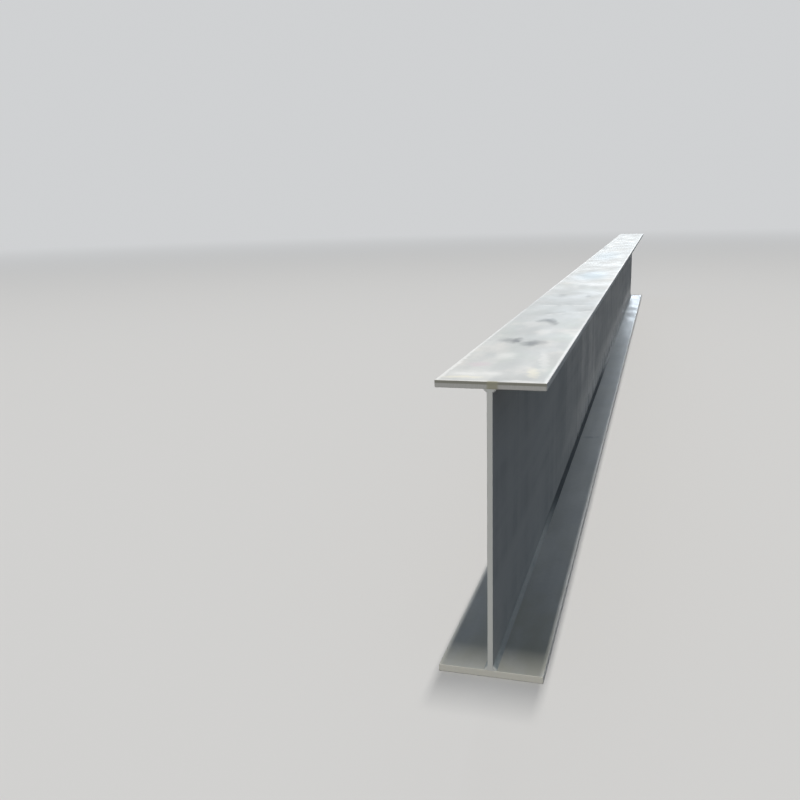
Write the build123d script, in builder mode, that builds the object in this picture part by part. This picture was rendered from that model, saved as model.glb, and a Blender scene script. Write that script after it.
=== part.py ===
from build123d import *
from build123d.topology import SkipClean
from itertools import pairwise
import os

os.makedirs("parts", exist_ok=True)

# Welded H-beam of three flat steel plates, in millimetres.
# It lies on its bottom flange: Y runs along the beam, Z is up and X goes across it.
# The origin is on the floor, midway along the beam and midway across it.

# Driving dimensions of the section and the stock length
beam_length = 12000
beam_depth = 1000
flange_width = 350
flange_thickness = 24
web_thickness = 18

# Fillet welds: the leg along each plate, and how far the face stands out from a straight one
weld_leg = 14
weld_crown = 1.2

# Edges: the long flange edges are ground round for paint, and the cut ends are only broken
flange_edge_radius = 3
flange_end_break = 1.5
web_end_break = 1.0
weld_nose_radius = 2.5

# Levels and faces that the plates share
web_height = beam_depth - 2 * flange_thickness
web_face = web_thickness / 2
lower_toe = flange_thickness + weld_leg
upper_toe = beam_depth - lower_toe
middle_plane = Plane.XZ
half_length = beam_length / 2


def end_faces(part):
    """The two flat faces that close a part off at the ends of the beam."""
    return part.faces().filter_by(Axis.Y)


def save(part, name):
    """Label a finished piece and write it under its own name."""
    part.label = name
    export_step(part, f"parts/{name}.step")


# Flanges: flat strips cut from plate, with their four long edges rounded
def flange_plate(underside):
    with BuildPart() as plate:
        with BuildSketch(middle_plane):
            with Locations((0, underside)):
                RectangleRounded(
                    flange_width,
                    flange_thickness,
                    flange_edge_radius,
                    align=(Align.CENTER, Align.MIN),
                )
        extrude(amount=half_length, both=True)
        chamfer(end_faces(plate).edges(), flange_end_break)
    return plate.part


save(flange_plate(0), "bottom_flange_plate")
save(flange_plate(flange_thickness + web_height), "top_flange_plate")

# Web: one plate on edge between the flanges, square where it meets them.
# It rises in steps that part at the weld toes, so the bare side between two welds is a face of its own.
web_levels = (flange_thickness, lower_toe, upper_toe, flange_thickness + web_height)

with BuildPart() as web_plate, SkipClean():
    for low, high in pairwise(web_levels):
        with BuildSketch(Plane.XY.offset(low)) as outline:
            Rectangle(web_thickness, beam_length)
            chamfer(outline.vertices(), web_end_break)
        extrude(amount=high - low)

save(web_plate.part, "web_plate")

# Weld in the lower right corner: two straight legs against the plates and a crowned face
root = (web_face, flange_thickness)
web_toe = (web_face, lower_toe)
flange_toe = (web_face + weld_leg, flange_thickness)

with BuildPart() as weld_bead:
    with BuildSketch(middle_plane):
        with BuildLine():
            Line(web_toe, root)
            Line(root, flange_toe)
            SagittaArc(flange_toe, web_toe, -weld_crown)
        make_face()
    extrude(amount=half_length, both=True)
    crown_ends = end_faces(weld_bead).edges().filter_by(GeomType.CIRCLE)
    fillet(crown_ends, weld_nose_radius)

# The other three corners carry the same weld, mirrored across the web and the mid-depth
across = Plane.YZ
mid_depth = Plane.XY.offset(beam_depth / 2)

save(weld_bead.part, "weld_bead_bottom_right")
save(weld_bead.part.mirror(across), "weld_bead_bottom_left")
save(weld_bead.part.mirror(mid_depth), "weld_bead_top_right")
save(weld_bead.part.mirror(mid_depth).mirror(across), "weld_bead_top_left")
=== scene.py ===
from math import radians

import bmesh
import bpy
from mathutils import Matrix, Vector


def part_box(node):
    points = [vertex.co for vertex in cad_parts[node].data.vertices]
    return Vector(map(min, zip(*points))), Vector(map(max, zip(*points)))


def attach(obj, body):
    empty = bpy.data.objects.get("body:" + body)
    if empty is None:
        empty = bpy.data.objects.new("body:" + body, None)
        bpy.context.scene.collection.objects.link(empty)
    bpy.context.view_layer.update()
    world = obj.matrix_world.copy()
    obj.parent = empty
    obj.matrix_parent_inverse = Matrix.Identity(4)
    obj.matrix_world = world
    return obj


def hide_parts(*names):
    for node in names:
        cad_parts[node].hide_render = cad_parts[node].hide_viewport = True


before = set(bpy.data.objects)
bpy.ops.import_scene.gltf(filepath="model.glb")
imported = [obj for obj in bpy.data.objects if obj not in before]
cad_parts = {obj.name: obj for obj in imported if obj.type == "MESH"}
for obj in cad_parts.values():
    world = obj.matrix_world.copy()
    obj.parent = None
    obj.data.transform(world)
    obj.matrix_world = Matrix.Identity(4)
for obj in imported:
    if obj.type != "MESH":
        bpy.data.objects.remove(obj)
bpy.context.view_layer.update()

# Camera: a standing person's eye, in front of the near end and half a metre right of the web.
# It looks down the length of the beam, with the lens of an ordinary phone.
eye = Vector((0.4964, -8.5842, 1.5343))
turned_left = radians(16.894)
tipped_down = radians(12.6)
leaning_right = radians(1.437)

lens = bpy.data.cameras.new("photo_lens")
lens.sensor_width = 36
lens.lens = 39.19
lens.clip_start = 0.05
lens.clip_end = 500
camera = bpy.data.objects.new("photo_camera", lens)
camera.matrix_world = (
    Matrix.Translation(eye)
    @ Matrix.Rotation(turned_left, 4, "Z")
    @ Matrix.Rotation(radians(90) - tipped_down, 4, "X")
    @ Matrix.Rotation(-leaning_right, 4, "Z")
)
bpy.context.scene.collection.objects.link(camera)
bpy.context.scene.camera = camera

# Bottom flange: a 24 mm steel strip, 350 mm wide and 12 m long, which the whole beam lies on.
# It is sprayed with the shop's grey primer. Its long edges got a second stripe of paint by brush,
# and floor dust has settled on top of it, most of all near the cut end.
half_width, half_length, flange_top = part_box("bottom_flange_plate")[1]
floor_dust = (0.46, 0.455, 0.375, 1)
wear_and_reflection_line = (0.40, 0.42, 0.42, 1)
lit_end_coat = (0.66, 0.645, 0.57, 1)


def node(tree, kind, inputs=None, **settings):
    """One node of a material or a shape, with its settings made and its inputs set or linked."""
    made = tree.nodes.new(kind)
    for name, value in settings.items():
        setattr(made, name, value)
    for name, value in (inputs or {}).items():
        socket = made.inputs[name]
        if isinstance(value, bpy.types.NodeSocket):
            tree.links.new(value, socket)
        else:
            socket.default_value = value
    return made


def work_out(tree, operation, first, second=0.0, third=0.0):
    """One sum on numbers, as a node."""
    inputs = {0: first, 1: second, 2: third}
    return node(tree, "ShaderNodeMath", inputs, operation=operation).outputs[0]


def ease(tree, value, low, high, start=0.0, end=1.0):
    """A number that goes smoothly from start to end while value goes from low to high."""
    inputs = {"Value": value, "From Min": low, "From Max": high, "To Min": start, "To Max": end}
    made = node(tree, "ShaderNodeMapRange", inputs, interpolation_type="SMOOTHSTEP")
    return made.outputs["Result"]


def mixed(tree, share, under, over):
    """One colour over another, by a share from 0 to 1. The colours are the node's inputs 6 and 7."""
    inputs = {0: share, 6: under, 7: over}
    return node(tree, "ShaderNodeMix", inputs, data_type="RGBA").outputs[2]


class Paint:
    """A coat of primer while it is built up: its colour, its roughness and its relief so far."""

    lean_coat = (0.530, 0.540, 0.532, 1)
    full_coat = (0.650, 0.655, 0.638, 1)
    brushed_coat = (0.690, 0.700, 0.685, 1)
    # The last is a painted highlight colour for the flange edges
    edge_highlight_coat = (0.850, 0.860, 0.850, 1)

    def __init__(self, name, smoothest, roughest):
        self.material = bpy.data.materials.new(name)
        self.material.use_nodes = True
        self.tree = self.material.node_tree
        self.tree.nodes.clear()
        self.place = node(self.tree, "ShaderNodeTexCoord").outputs["Object"]
        split = node(self.tree, "ShaderNodeSeparateXYZ", {0: self.place})
        self.x, self.y, self.z = split.outputs

        # Spray passes run along the beam, and where the coat is lean the colour is darker
        clouds = self.noise(3.0, stretch=(1, 0.45, 1), detail=4.0)
        passes = self.noise(5.0, stretch=(2.4, 0.12, 2.4), shift=(3, 7, 1))
        grain = self.noise(55.0, detail=3.0, shift=(2, 4, 8))
        coat = self.add(self.sum("MULTIPLY", clouds, 0.6), passes, 0.45)
        coat = self.add(coat, grain, 0.15)
        self.colour = self.lean_coat
        self.lay(self.full_coat, self.ease(coat, 0.44, 0.76))

        # It is smoother in some patches than in others, with orange peel on a slow sway
        patches = self.noise(7.0, stretch=(1, 0.5, 1), detail=3.0, shift=(9, 2, 4))
        self.roughness = self.ease(patches, 0.3, 0.7, smoothest, roughest)
        peel = self.noise(420.0, detail=1.0)
        sway = self.noise(4.0, stretch=(1, 0.5, 1), detail=1.0, shift=(5, 5, 5))
        self.relief = self.add(peel, sway, 12.0)

    def sum(self, operation, first, second=0.0):
        return work_out(self.tree, operation, first, second)

    def add(self, total, part, times):
        """A part added to a total, so many times over."""
        return work_out(self.tree, "MULTIPLY_ADD", part, times, total)

    def ease(self, value, low, high, start=0.0, end=1.0):
        return ease(self.tree, value, low, high, start, end)

    def noise(self, scale, stretch=(1, 1, 1), detail=2.0, shift=(0, 0, 0)):
        """A cloudy number around 0.5, with scale in clouds per metre times the stretch."""
        inputs = {"Vector": self.place, "Location": shift, "Scale": stretch}
        moved = node(self.tree, "ShaderNodeMapping", inputs).outputs[0]
        inputs = {"Vector": moved, "Scale": scale, "Detail": detail}
        return node(self.tree, "ShaderNodeTexNoise", inputs).outputs["Fac"]

    def where(self, *shares):
        """Where all these shares meet."""
        meeting = shares[0]
        for share in shares[1:]:
            meeting = self.sum("MULTIPLY", meeting, share)
        return meeting

    def lay(self, colour, *shares):
        """Lays a colour over what is there, where all these shares meet."""
        self.colour = mixed(self.tree, self.where(*shares), self.colour, colour)

    def roughen(self, amount, *shares):
        """Makes the coat rougher where these shares meet, or smoother by an amount below zero."""
        self.roughness = self.add(self.roughness, self.where(*shares), amount)

    def upper_face(self, level):
        """The flat upper face of a flange, inside its turned edges."""
        return self.ease(self.z, level - 0.0012, level - 0.0002)

    def line_across(self, from_near_end, slant, width, left, right):
        """A thin line across the beam, broken up along its length."""
        wander = 0.05
        fade = 0.02
        start = half_length - from_near_end - wander / 2
        off_line = self.add(self.sum("ADD", self.y, start), self.x, -slant)
        wobble = self.noise(9.0, detail=3.0, shift=(1, from_near_end, 3))
        off_line = self.add(off_line, wobble, wander)
        on_line = self.ease(self.sum("ABSOLUTE", off_line), width, 0.0)
        past_left = self.ease(self.x, left - fade, left + fade)
        before_right = self.ease(self.x, right + fade, right - fade)
        patchy = self.noise(22.0, stretch=(1, 0.4, 1), detail=3.0, shift=(6, 2, from_near_end))
        return self.where(on_line, past_left, before_right, self.ease(patchy, 0.35, 0.6))

    def stripe_edges(self):
        """The brushed second coat along both long edges of a flange."""
        wander = 0.014
        brush = self.noise(16.0, stretch=(1, 0.5, 1), detail=3.0, shift=(4, 1, 6))
        from_middle = self.sum("SUBTRACT", self.sum("ABSOLUTE", self.x), wander / 2)
        reach = self.add(from_middle, brush, wander)
        stripe = self.ease(reach, half_width - 0.016, half_width - 0.009)
        self.lay(self.brushed_coat, stripe, 0.8)

    def edge_highlights(self, strength):
        """The edges of a flange, painted pale as a highlight along them, in an uneven band."""
        along = self.ease(self.sum("ABSOLUTE", self.x), half_width - 0.013, half_width - 0.004)
        across = self.ease(self.sum("ABSOLUTE", self.y), half_length - 0.012, half_length - 0.003)
        uneven = self.noise(12.0, stretch=(1, 0.6, 1), detail=4.0, shift=(7, 7, 1))
        highlight_share = self.ease(uneven, 0.25, 0.6, 0.35, 1.0)
        self.lay(self.edge_highlight_coat, self.sum("MAXIMUM", along, across), highlight_share, strength)

    def cut_ends(self, coat):
        """The two cut ends: another coat over the fine upright lines of the cut."""
        from_middle = self.sum("ABSOLUTE", self.y)
        at_end = self.ease(from_middle, half_length - 0.0016, half_length - 0.0012)
        lines = self.noise(40.0, stretch=(22, 1, 1.2), shift=(7, 0, 3))
        self.lay(coat, at_end, self.ease(lines, 0.2, 0.75, 0.75, 1.0))
        self.roughen(0.12, at_end)
        self.relief = self.add(self.relief, self.where(at_end, lines), 5.0)
        return at_end

    def finish(self, shine, depth=0.00003):
        """Makes the painted surface, with relief of that depth in metres, and hands it over."""
        bump = node(self.tree, "ShaderNodeBump", {"Height": self.relief, "Distance": depth})
        inputs = {
            "Base Color": self.colour,
            "Roughness": self.roughness,
            "Specular IOR Level": shine,
            "Normal": bump.outputs[0],
        }
        surface = node(self.tree, "ShaderNodeBsdfPrincipled", inputs)
        node(self.tree, "ShaderNodeOutputMaterial", {"Surface": surface.outputs[0]})
        return self.material


def put_on(plate, material):
    """Gives a plate of the frame its paint."""
    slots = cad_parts[plate].data.materials
    slots.clear()
    slots.append(material)


paint = Paint("primer_on_bottom_flange", 0.38, 0.48)
paint.stripe_edges()
# Painted highlight along the edges, faint here
paint.edge_highlights(0.2)
on_top = paint.upper_face(flange_top)
settled = paint.ease(paint.sum("ADD", paint.y, half_length), 1.4, 0.0, 0.18, 0.75)
drifts = paint.noise(6.0, stretch=(1, 0.5, 1), detail=4.0, shift=(8, 3, 2))
paint.lay(floor_dust, on_top, settled, paint.ease(drifts, 0.3, 0.65))
# Painted reflection edge: a darker line across the bottom flange, 3 m from the near end
line = paint.line_across(3.01, slant=0.2, width=0.045, left=0.04, right=0.17)
paint.lay(wear_and_reflection_line, on_top, line, 0.8)
paint.roughen(0.35, on_top, settled)
# The cut is painted pale and warm, as light thrown up from the floor
paint.cut_ends(lit_end_coat)
put_on("bottom_flange_plate", paint.finish(shine=0.32))

# Web: an 18 mm plate, 952 mm high, on edge between the flanges. It was sprayed in upright strokes,
# which left paler bars side by side, partly painted reflection. The coat is dry and dull near the
# cut end, then wetter, most of all low down. A dark line of painted shade runs above the lower right
# weld.
web_end_coat = (0.64, 0.65, 0.62, 1)
painted_toe_shade = (0.09, 0.10, 0.11, 1)


def toe_shade_area(paint):
    """Where shade is painted along the lower right weld and in the corner above it."""
    after_start = paint.ease(paint.y, -4.9, -4.1)
    before_stop = paint.ease(paint.y, 0.1, -1.3)
    right_side = paint.ease(paint.x, 0.0, 0.001)
    low_down = paint.ease(paint.z, 0.5, 0.1)
    return paint.where(after_start, before_stop, right_side, low_down)


paint = Paint("primer_on_web", 0.84, 0.94)
strokes = paint.noise(6.0, stretch=(1, 1.6, 0.09), shift=(2, 9, 5))
stroke_bars_and_sheen = paint.ease(strokes, 0.42, 0.64)
# Paler upright bars: partly spray strokes, partly painted reflection
paint.lay(Paint.full_coat, stroke_bars_and_sheen, 0.55)
above_weld = paint.ease(paint.z, 0.036, 0.038)
below_shade_top = paint.ease(paint.z, 0.064, 0.048)
# Painted shade: a dark line on the web just above the lower right weld
paint.lay(painted_toe_shade, above_weld, below_shade_top, toe_shade_area(paint), 0.95)
wet_coat = paint.ease(paint.y, -5.2, -2.4)
low_strip = paint.ease(paint.z, 0.35, 0.05)
paint.roughen(-0.16, wet_coat)
paint.roughen(-0.20, wet_coat, stroke_bars_and_sheen)
paint.roughen(-0.36, wet_coat, low_strip)
paint.relief = paint.add(paint.relief, strokes, 10.0)
paint.cut_ends(web_end_coat)
put_on("web_plate", paint.finish(shine=0.06))

# Top flange: the same strip as below, in the same paint. It carries what the yard left on it:
# heel scuffs, worn lines from stacking timbers, pale smears, specks and an olive stain on the cut.
# Some marks are painted light instead: highlights on edges, bluish reflection and shade on the cut.
top_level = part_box("top_flange_plate")[1].z
scuff = (0.15, 0.16, 0.17, 1)
cream_smear = (0.86, 0.82, 0.67, 1)
white_smear = (0.82, 0.82, 0.80, 1)
pink_smear = (0.64, 0.56, 0.59, 1)
thin_patch = (0.50, 0.52, 0.52, 1)
bluish_reflection_patch = (0.54, 0.63, 0.69, 1)
warm_cloud = (0.76, 0.73, 0.69, 1)
green_cloud = (0.53, 0.575, 0.535, 1)
shaded_end_coat = (0.48, 0.475, 0.445, 1)
painted_shade_band = (0.21, 0.205, 0.155, 1)
olive_stain = (0.37, 0.36, 0.27, 1)

paint = Paint("primer_on_top_flange", 0.58, 0.70)
paint.stripe_edges()
on_top = paint.upper_face(top_level)

# Each place on the top, pushed about by a few centimetres, which gives the patches ragged rims
push_reach = (0.035, 0.05, 0.0)
cloudy = node(paint.tree, "ShaderNodeTexNoise", {"Vector": paint.place, "Scale": 35.0})
centred = {0: cloudy.outputs["Color"], 1: (0.5, 0.5, 0.5)}
push = node(paint.tree, "ShaderNodeVectorMath", centred, operation="SUBTRACT")
pushed = {0: push.outputs[0], 1: push_reach, 2: paint.place}
ragged = node(paint.tree, "ShaderNodeVectorMath", pushed, operation="MULTIPLY_ADD")


def dab(across, from_near_end, reach, turn=0.0):
    """A soft ragged patch on the top, fullest in its middle and turned by so many degrees."""
    any_height = 1000.0
    inputs = {
        "Vector": ragged.outputs[0],
        "Location": (across, from_near_end - half_length, 0.0),
        "Rotation": (0.0, 0.0, radians(turn)),
        "Scale": (*reach, any_height),
    }
    patch = node(paint.tree, "ShaderNodeMapping", inputs, vector_type="TEXTURE").outputs[0]
    out = node(paint.tree, "ShaderNodeVectorMath", {0: patch}, operation="LENGTH")
    return paint.ease(out.outputs["Value"], 1.1, 0.15)


# The near half dried in warm and greenish clouds, a hand wide
near_half = paint.ease(paint.y, -0.5, -4.5, 0.15, 1.0)
for colour, strength, scale, shift, low in (
    (green_cloud, 0.55, 6.0, (11, 5, 2), 0.46),
    (warm_cloud, 0.60, 8.0, (2, 13, 6), 0.47),
    (thin_patch, 0.40, 15.0, (6, 1, 9), 0.50),
):
    clouds = paint.noise(scale, stretch=(1, 0.5, 1), detail=4.0, shift=shift)
    paint.lay(colour, paint.ease(clouds, low, low + 0.2), near_half, strength, on_top)
# Painted highlight along the long edges and the cut ends of the top, strong here
paint.edge_highlights(0.95)

# Smears and patches, each with the place of its middle: across from the web to the right, then
# from the near end. Its reach across and along follows, all in metres, and its turn in degrees.
for colour, strength, across, from_near_end, reach, turn in (
    (thin_patch, 0.85, 0.000, 2.050, (0.320, 1.350), 0),
    (white_smear, 0.50, -0.075, 0.110, (0.140, 0.110), 0),
    # The next two are painted highlight: a line along the near edge, then one along the left edge
    (white_smear, 0.60, 0.098, 0.020, (0.085, 0.024), 0),
    (white_smear, 0.90, -0.170, 0.240, (0.014, 0.420), 0),
    (thin_patch, 0.45, 0.000, 0.700, (0.160, 0.550), 0),
    (thin_patch, 0.50, 0.010, 0.270, (0.075, 0.190), -12),
    (thin_patch, 0.45, -0.070, 1.120, (0.080, 0.260), 5),
    (thin_patch, 0.40, 0.080, 0.600, (0.060, 0.150), 0),
    (cream_smear, 0.55, -0.112, 0.060, (0.075, 0.028), 8),
    (white_smear, 0.80, -0.100, 0.118, (0.055, 0.032), 0),
    (cream_smear, 0.40, -0.060, 0.062, (0.036, 0.024), 0),
    (pink_smear, 0.60, -0.090, 0.290, (0.050, 0.060), 20),
    (cream_smear, 0.55, 0.110, 0.160, (0.024, 0.120), 10),
    (white_smear, 0.45, 0.112, 0.420, (0.024, 0.240), 8),
    (white_smear, 0.60, -0.020, 0.130, (0.050, 0.045), -20),
    (white_smear, 0.55, -0.030, 0.470, (0.050, 0.110), 0),
    (white_smear, 0.30, 0.030, 1.080, (0.045, 0.110), 0),
    # The next two are painted reflection: bluish patches further along the top
    (bluish_reflection_patch, 0.75, 0.004, 3.950, (0.150, 0.550), 0),
    (bluish_reflection_patch, 0.50, -0.040, 6.300, (0.160, 0.900), 0),
):
    paint.lay(colour, dab(across, from_near_end, reach, turn), strength, on_top)

# Each scuff is a few soft dabs: a dark core and what smeared out of it. Specks follow further on.
for strength, across, from_near_end, reach in (
    (0.68, -0.048, 0.825, (0.026, 0.105)),
    (0.38, -0.072, 0.825, (0.038, 0.080)),
    (0.26, -0.098, 0.830, (0.034, 0.065)),
    (0.66, 0.022, 0.765, (0.034, 0.105)),
    (0.34, -0.006, 0.755, (0.030, 0.070)),
    (0.36, 0.056, 0.780, (0.034, 0.075)),
    (0.32, -0.040, 1.420, (0.024, 0.075)),
    (0.52, -0.018, 1.445, (0.028, 0.085)),
    (0.64, 0.006, 1.440, (0.026, 0.095)),
    (0.58, 0.026, 1.390, (0.022, 0.090)),
    (0.44, 0.044, 1.330, (0.020, 0.075)),
    (0.30, -0.061, 2.538, (0.036, 0.130)),
    (0.32, 0.092, 2.507, (0.022, 0.110)),
    (0.18, 0.006, 3.115, (0.045, 0.150)),
    (0.35, -0.160, 7.870, (0.050, 0.300)),
):
    paint.lay(scuff, dab(across, from_near_end, reach), strength, on_top)

# Two timbers lay across the top: each left a worn line, with a pale one on its near side
for colour, strength, from_near_end, slant, width, left, right in (
    (wear_and_reflection_line, 0.55, 1.745, 0.73, 0.055, -0.05, 0.165),
    (white_smear, 0.55, 1.670, 0.73, 0.035, -0.03, 0.165),
    (wear_and_reflection_line, 0.60, 2.101, 0.07, 0.050, -0.12, 0.155),
    (white_smear, 0.45, 2.030, 0.07, 0.030, -0.10, 0.120),
):
    line = paint.line_across(from_near_end, slant, width, left, right)
    paint.lay(colour, line, strength, on_top)

# The cut is painted darker as shade, darkest over its upper third, and the olive stain is on the cut
# over the web
at_end = paint.cut_ends(shaded_end_coat)
below_top = paint.sum("SUBTRACT", top_level, paint.z)
upper_third = paint.ease(below_top, 0.0115, 0.0080)
under_edge = paint.ease(below_top, 0.0002, 0.0012)
# Painted shade across the upper third of the cut
paint.lay(painted_shade_band, at_end, upper_third, under_edge, 0.7)
stain_middle = 0.008
off_stain = paint.sum("ABSOLUTE", paint.sum("SUBTRACT", paint.x, stain_middle))
near_cut = paint.ease(paint.y, 0.010 - half_length, 0.004 - half_length)
paint.lay(olive_stain, paint.ease(off_stain, 0.022, 0.012), near_cut, 0.9)
put_on("top_flange_plate", paint.finish(shine=0.10, depth=0.00002))

# Welds: four fillet welds, one in each corner between web and flange, laid by machine in one long
# pass each. Their ripples follow each other every 6 mm under the primer, with a bluish painted shade
# over them in specks. The lower right one has a darker painted shade over it for some metres.
shaded_weld_coat = (0.28, 0.33, 0.34, 1)
unshaded_nose_coat = (0.62, 0.63, 0.60, 1)
sunk = 0.0002
short_of_cut = 0.0005

paint = Paint("primer_on_welds", 0.30, 0.40)
# Painted shade: the welds are darkened in specks with a bluish grey
speckle = paint.noise(45.0, stretch=(1, 0.3, 1), detail=3.0, shift=(3, 3, 3))
weld_shade_share = paint.ease(speckle, 0.5, 0.75)
paint.lay(shaded_weld_coat, paint.ease(weld_shade_share, 0.0, 1.0, 0.70, 0.95))
# Painted shade over the lower right weld too, under the line on the web
paint.lay(painted_toe_shade, toe_shade_area(paint), 0.88)
paint.roughen(0.55, toe_shade_area(paint))
from_middle = paint.sum("ABSOLUTE", paint.y)
# The round noses at the ends keep the plain coat, without the painted shade
paint.lay(unshaded_nose_coat, paint.ease(from_middle, half_length - 0.012, half_length - 0.004))
weld_paint = paint.finish(shine=0.2)


def weld_shape():
    """Rings along the joint, three to a ripple, each with its corner and its crown."""
    tree = bpy.data.node_groups.new("rippled_weld", "GeometryNodeTree")
    sockets = tree.interface
    sockets.new_socket("Geometry", in_out="OUTPUT", socket_type="NodeSocketGeometry")
    sockets.new_socket("Geometry", in_out="INPUT", socket_type="NodeSocketGeometry")
    for name in ("Corner X", "Corner Z", "Side", "Up", "Half Length", "Leg", "Crown"):
        sockets.new_socket(name, in_out="INPUT", socket_type="NodeSocketFloat")
    for name in ("Ripple Pitch", "Ripple Height", "Ripple Bow", "Seed"):
        sockets.new_socket(name, in_out="INPUT", socket_type="NodeSocketFloat")
    sockets.new_socket("Crown Points", in_out="INPUT", socket_type="NodeSocketInt")
    sockets.new_socket("Paint", in_out="INPUT", socket_type="NodeSocketMaterial")
    given = node(tree, "NodeGroupInput").outputs
    rings_per_ripple = 3.0

    def sum_of(operation, first, second=0.0, third=0.0):
        return work_out(tree, operation, first, second, third)

    # A closed ring of points is swept along the joint, and every point knows its ring and its turn
    half = given["Half Length"]
    whole = sum_of("MULTIPLY", half, 2.0)
    ripples = sum_of("ROUND", sum_of("DIVIDE", whole, given["Ripple Pitch"]))
    pitch = sum_of("DIVIDE", whole, ripples)
    rings = sum_of("MULTIPLY_ADD", ripples, rings_per_ripple, 1.0)
    far_end = node(tree, "ShaderNodeCombineXYZ", {"Y": half}).outputs[0]
    near_end = node(tree, "ShaderNodeCombineXYZ", {"Y": sum_of("MULTIPLY", half, -1.0)}).outputs[0]
    line = node(tree, "GeometryNodeCurvePrimitiveLine", {"Start": near_end, "End": far_end})
    rail = node(tree, "GeometryNodeResampleCurve", {"Curve": line.outputs[0], "Count": rings})
    point = node(tree, "GeometryNodeInputIndex").outputs[0]
    kept_ring = node(tree, "GeometryNodeCaptureAttribute", {"Geometry": rail.outputs[0]})
    kept_ring.capture_items.new("FLOAT", "ring")
    tree.links.new(point, kept_ring.inputs["ring"])
    outline = {
        "Resolution": sum_of("ADD", given["Crown Points"], 1.0),
        "Radius": given["Leg"],
    }
    circle = node(tree, "GeometryNodeCurvePrimitiveCircle", outline)
    kept_turn = node(tree, "GeometryNodeCaptureAttribute", {"Geometry": circle.outputs[0]})
    kept_turn.capture_items.new("FLOAT", "turn")
    tree.links.new(point, kept_turn.inputs["turn"])
    sweep = {
        "Curve": kept_ring.outputs["Geometry"],
        "Profile Curve": kept_turn.outputs["Geometry"],
        "Fill Caps": True,
    }
    swept = node(tree, "GeometryNodeCurveToMesh", sweep)

    # Point 0 is the corner; the others go across the crown, from 0 at the flange to 1 at the web
    ring, turn = kept_ring.outputs["ring"], kept_turn.outputs["turn"]
    last = sum_of("SUBTRACT", given["Crown Points"], 1.0)
    across = sum_of("DIVIDE", sum_of("SUBTRACT", turn, 1.0), last)
    on_crown = sum_of("GREATER_THAN", turn, 0.5)
    middle = sum_of("MULTIPLY", across, sum_of("SUBTRACT", 1.0, across))
    middle = sum_of("MULTIPLY", middle, 4.0)

    # Each ripple has a ring at its foot, one on its crest and one down its slope
    crest_at, slope_at = 0.22, 0.62
    ripple = sum_of("FLOOR", sum_of("DIVIDE", sum_of("ADD", ring, 0.01), rings_per_ripple))
    step = sum_of("SUBTRACT", ring, sum_of("MULTIPLY", ripple, rings_per_ripple))
    crest = sum_of("COMPARE", step, 1.0, 0.5)
    slope = sum_of("COMPARE", step, 2.0, 0.5)
    phase = sum_of("MULTIPLY_ADD", crest, crest_at, sum_of("MULTIPLY", slope, slope_at))
    along = sum_of("MULTIPLY", sum_of("ADD", ripple, phase), pitch)
    along = sum_of("SUBTRACT", along, half)
    from_end = sum_of("SUBTRACT", half, sum_of("ABSOLUTE", along))

    # The middle of each ripple lags behind its toes, but not at the two ends of the weld
    bow = sum_of("MULTIPLY", given["Ripple Bow"], ease(tree, from_end, 0.004, 0.05))
    bow = sum_of("MULTIPLY", sum_of("MULTIPLY", bow, middle), on_crown)
    y = sum_of("SUBTRACT", along, bow)

    # No two ripples are the same, and the legs and the crown wander a little along the way
    spot = node(tree, "ShaderNodeCombineXYZ", {"X": given["Seed"], "Y": along}).outputs[0]
    uneven = node(tree, "ShaderNodeTexNoise", {"Vector": spot, "Scale": 60.0}).outputs["Fac"]
    wander = node(tree, "ShaderNodeTexNoise", {"Vector": spot, "Scale": 2.5}).outputs["Fac"]
    lift = sum_of("MULTIPLY", sum_of("MULTIPLY_ADD", slope, 0.6, crest), given["Ripple Height"])
    lift = sum_of("MULTIPLY", lift, ease(tree, uneven, 0.3, 0.7, 0.5, 1.5))
    crown = sum_of("MULTIPLY", given["Crown"], ease(tree, wander, 0.3, 0.7, 0.7, 1.2))
    leg = sum_of("MULTIPLY", given["Leg"], ease(tree, wander, 0.25, 0.75, 0.94, 1.04))

    # The crown stands out midway between the two plates, and the whole weld thins to a round nose
    diagonal = 0.7071
    out = sum_of("MULTIPLY", sum_of("ADD", lift, crown), sum_of("MULTIPLY", middle, diagonal))
    nose = sum_of("SQRT", ease(tree, from_end, 0.0, 0.010, 0.45, 1.0))
    size = sum_of("MULTIPLY", nose, on_crown)
    over_flange = sum_of("MULTIPLY_ADD", leg, sum_of("SUBTRACT", 1.0, across), out)
    up_web = sum_of("MULTIPLY_ADD", leg, across, out)
    over_flange = sum_of("MULTIPLY_ADD", over_flange, size, given["Corner X"])
    up_web = sum_of("MULTIPLY", up_web, size)
    x = sum_of("MULTIPLY", given["Side"], over_flange)
    z = sum_of("MULTIPLY_ADD", given["Up"], up_web, given["Corner Z"])
    place = node(tree, "ShaderNodeCombineXYZ", {"X": x, "Y": y, "Z": z}).outputs[0]
    moved = {"Geometry": swept.outputs[0], "Position": place}
    shaped = node(tree, "GeometryNodeSetPosition", moved).outputs[0]

    # Two of the four corners come out inside out, so their faces are turned round
    inside_out = sum_of("GREATER_THAN", sum_of("MULTIPLY", given["Side"], given["Up"]), 0.0)
    turned = node(tree, "GeometryNodeFlipFaces", {"Mesh": shaped}).outputs[0]
    either = {"Switch": inside_out, "False": shaped, "True": turned}
    facing = node(tree, "GeometryNodeSwitch", either).outputs[0]

    # The crown is smooth, and the corners along it and round the ends stay sharp
    bend = node(tree, "GeometryNodeInputMeshEdgeAngle").outputs["Unsigned Angle"]
    shading = {"Geometry": facing, "Shade Smooth": sum_of("LESS_THAN", bend, 0.9)}
    smooth = node(tree, "GeometryNodeSetShadeSmooth", shading, domain="EDGE").outputs[0]
    real = node(tree, "GeometryNodeRealizeInstances", {"Geometry": smooth}).outputs[0]
    painted = node(tree, "GeometryNodeSetMaterial", {"Geometry": real, "Material": given["Paint"]})
    node(tree, "NodeGroupOutput", {"Geometry": painted.outputs[0]})
    return tree


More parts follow.
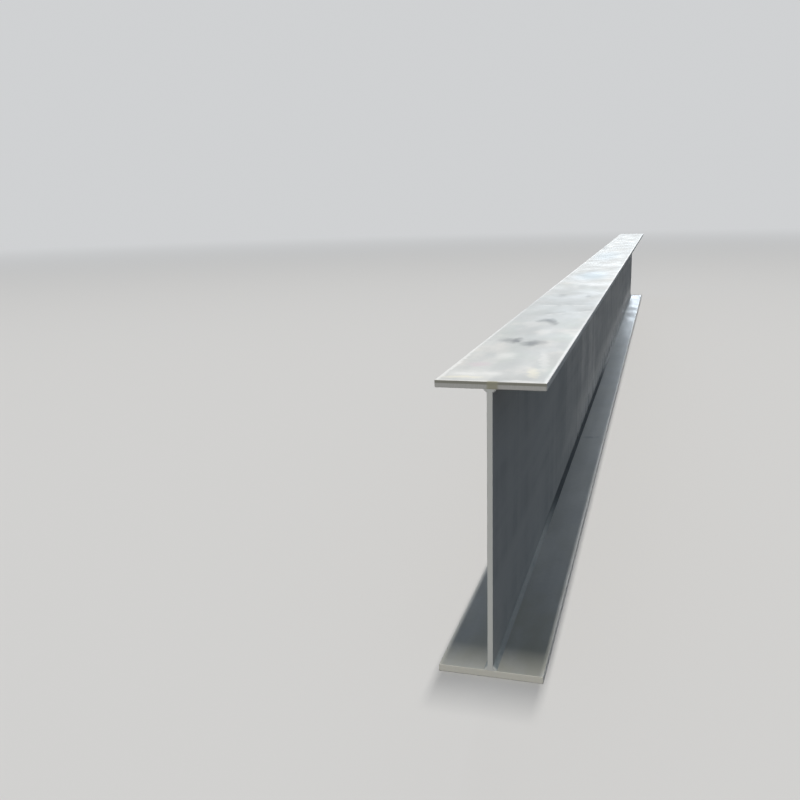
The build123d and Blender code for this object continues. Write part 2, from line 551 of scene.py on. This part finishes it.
weld_tree = weld_shape()
web_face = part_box("web_plate")[1].x
weld_names = (
    "weld_bead_bottom_right",
    "weld_bead_bottom_left",
    "weld_bead_top_right",
    "weld_bead_top_left",
)
for seed, name in enumerate(weld_names):
    low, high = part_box(name)
    side = 1.0 if "right" in name else -1.0
    up = 1.0 if "bottom" in name else -1.0
    plate_level = low.z if up > 0 else high.z
    values = {
        "Corner X": web_face - sunk,
        "Corner Z": plate_level - sunk * up,
        "Side": side,
        "Up": up,
        "Half Length": high.y - short_of_cut,
        "Leg": 0.0138,
        "Crown": 0.0011,
        "Ripple Pitch": 0.006,
        "Ripple Height": 0.00035,
        "Ripple Bow": 0.004,
        "Seed": 10.0 * seed,
        "Crown Points": 6,
        "Paint": weld_paint,
    }
    holder = bpy.data.objects.new("weld_line", bpy.data.meshes.new("weld_line"))
    bpy.context.scene.collection.objects.link(holder)
    weld = holder.modifiers.new("rippled_weld", "NODES")
    weld.node_group = weld_tree
    for socket in weld_tree.interface.items_tree:
        if socket.in_out == "INPUT" and socket.name in values:
            weld[socket.identifier] = values[socket.name]
    graph = bpy.context.evaluated_depsgraph_get()
    mesh = bpy.data.meshes.new_from_object(holder.evaluated_get(graph), depsgraph=graph)
    bpy.data.objects.remove(holder)
    bead = bpy.data.objects.new(name.replace("weld_bead", "rippled_weld"), mesh)
    bpy.context.scene.collection.objects.link(bead)
    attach(bead, "root")
    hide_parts(name)

# Floor and light: a plain pale floor that fades into a plain pale background. A long strip lamp
# hangs high over the beam, and weaker lamps stand low beyond its two ends. Soft bluish light comes
# from all round.
background = (0.63, 0.64, 0.65, 1)
floor_seen = (0.66, 0.655, 0.645, 1)
floor_bounce = (0.065, 0.068, 0.072, 1)
fill = (0.090, 0.113, 0.142, 1)
warm_white = (1.0, 0.972, 0.935)
cool_white = (0.82, 0.91, 1.0)


def only_seen(tree, seen_colour, lighting_colour):
    """One colour for what looks at it, also in gloss, and another for the light it gives back."""
    path = node(tree, "ShaderNodeLightPath").outputs
    seen = work_out(tree, "MAXIMUM", path["Is Camera Ray"], path["Is Glossy Ray"])
    seen = work_out(tree, "MAXIMUM", seen, path["Is Transmission Ray"])
    return seen, mixed(tree, seen, lighting_colour, seen_colour)


floor_mesh = bpy.data.meshes.new("studio_floor")
shape = bmesh.new()
bmesh.ops.create_grid(shape, x_segments=8, y_segments=8, size=150)
shape.to_mesh(floor_mesh)
shape.free()
floor = bpy.data.objects.new("studio_floor", floor_mesh)
bpy.context.scene.collection.objects.link(floor)
floor_paint = bpy.data.materials.new("pale_floor")
floor_paint.use_nodes = True
tree = floor_paint.node_tree
tree.nodes.clear()
seen, floor_colour = only_seen(tree, floor_seen, floor_bounce)
place = node(tree, "ShaderNodeTexCoord").outputs["Object"]
away = node(tree, "ShaderNodeVectorMath", {0: place}, operation="LENGTH").outputs["Value"]
fade = work_out(tree, "MULTIPLY", ease(tree, away, 9.0, 40.0), seen)
matte = node(tree, "ShaderNodeBsdfDiffuse", {"Color": floor_colour})
haze = node(tree, "ShaderNodeEmission", {"Color": background, "Strength": 1.0})
faded = node(tree, "ShaderNodeMixShader", {0: fade, 1: matte.outputs[0], 2: haze.outputs[0]})
node(tree, "ShaderNodeOutputMaterial", {"Surface": faded.outputs[0]})
floor_mesh.materials.append(floor_paint)

for name, strength, spread, colour, towards in (
    ("low_lamp_near_end", 1.2, 6, warm_white, Vector((0.03, -0.99, 0.06))),
    ("low_lamp_far_end", 0.64, 12, cool_white, Vector((-0.03, 0.985, 0.175))),
):
    lamp = bpy.data.lights.new(name, "SUN")
    lamp.energy = strength
    lamp.angle = radians(spread)
    lamp.color = colour
    stand = bpy.data.objects.new(name, lamp)
    stand.rotation_mode = "QUATERNION"
    stand.rotation_quaternion = towards.to_track_quat("Z", "Y")
    bpy.context.scene.collection.objects.link(stand)

strip = bpy.data.lights.new("strip_lamp", "AREA")
strip.shape = "RECTANGLE"
strip.size = 2.2
strip.size_y = 25
strip.energy = 30500
strip.color = warm_white
hanging = bpy.data.objects.new("strip_lamp", strip)
hanging.location = (0, -4, 60)
bpy.context.scene.collection.objects.link(hanging)

world = bpy.data.worlds.new("plain_studio")
bpy.context.scene.world = world
world.use_nodes = True
tree = world.node_tree
tree.nodes.clear()
sky_colour = only_seen(tree, background, fill)[1]
sky = node(tree, "ShaderNodeBackground", {"Color": sky_colour})
node(tree, "ShaderNodeOutputWorld", {"Surface": sky.outputs[0]})
bpy.context.scene.view_settings.view_transform = "Standard"
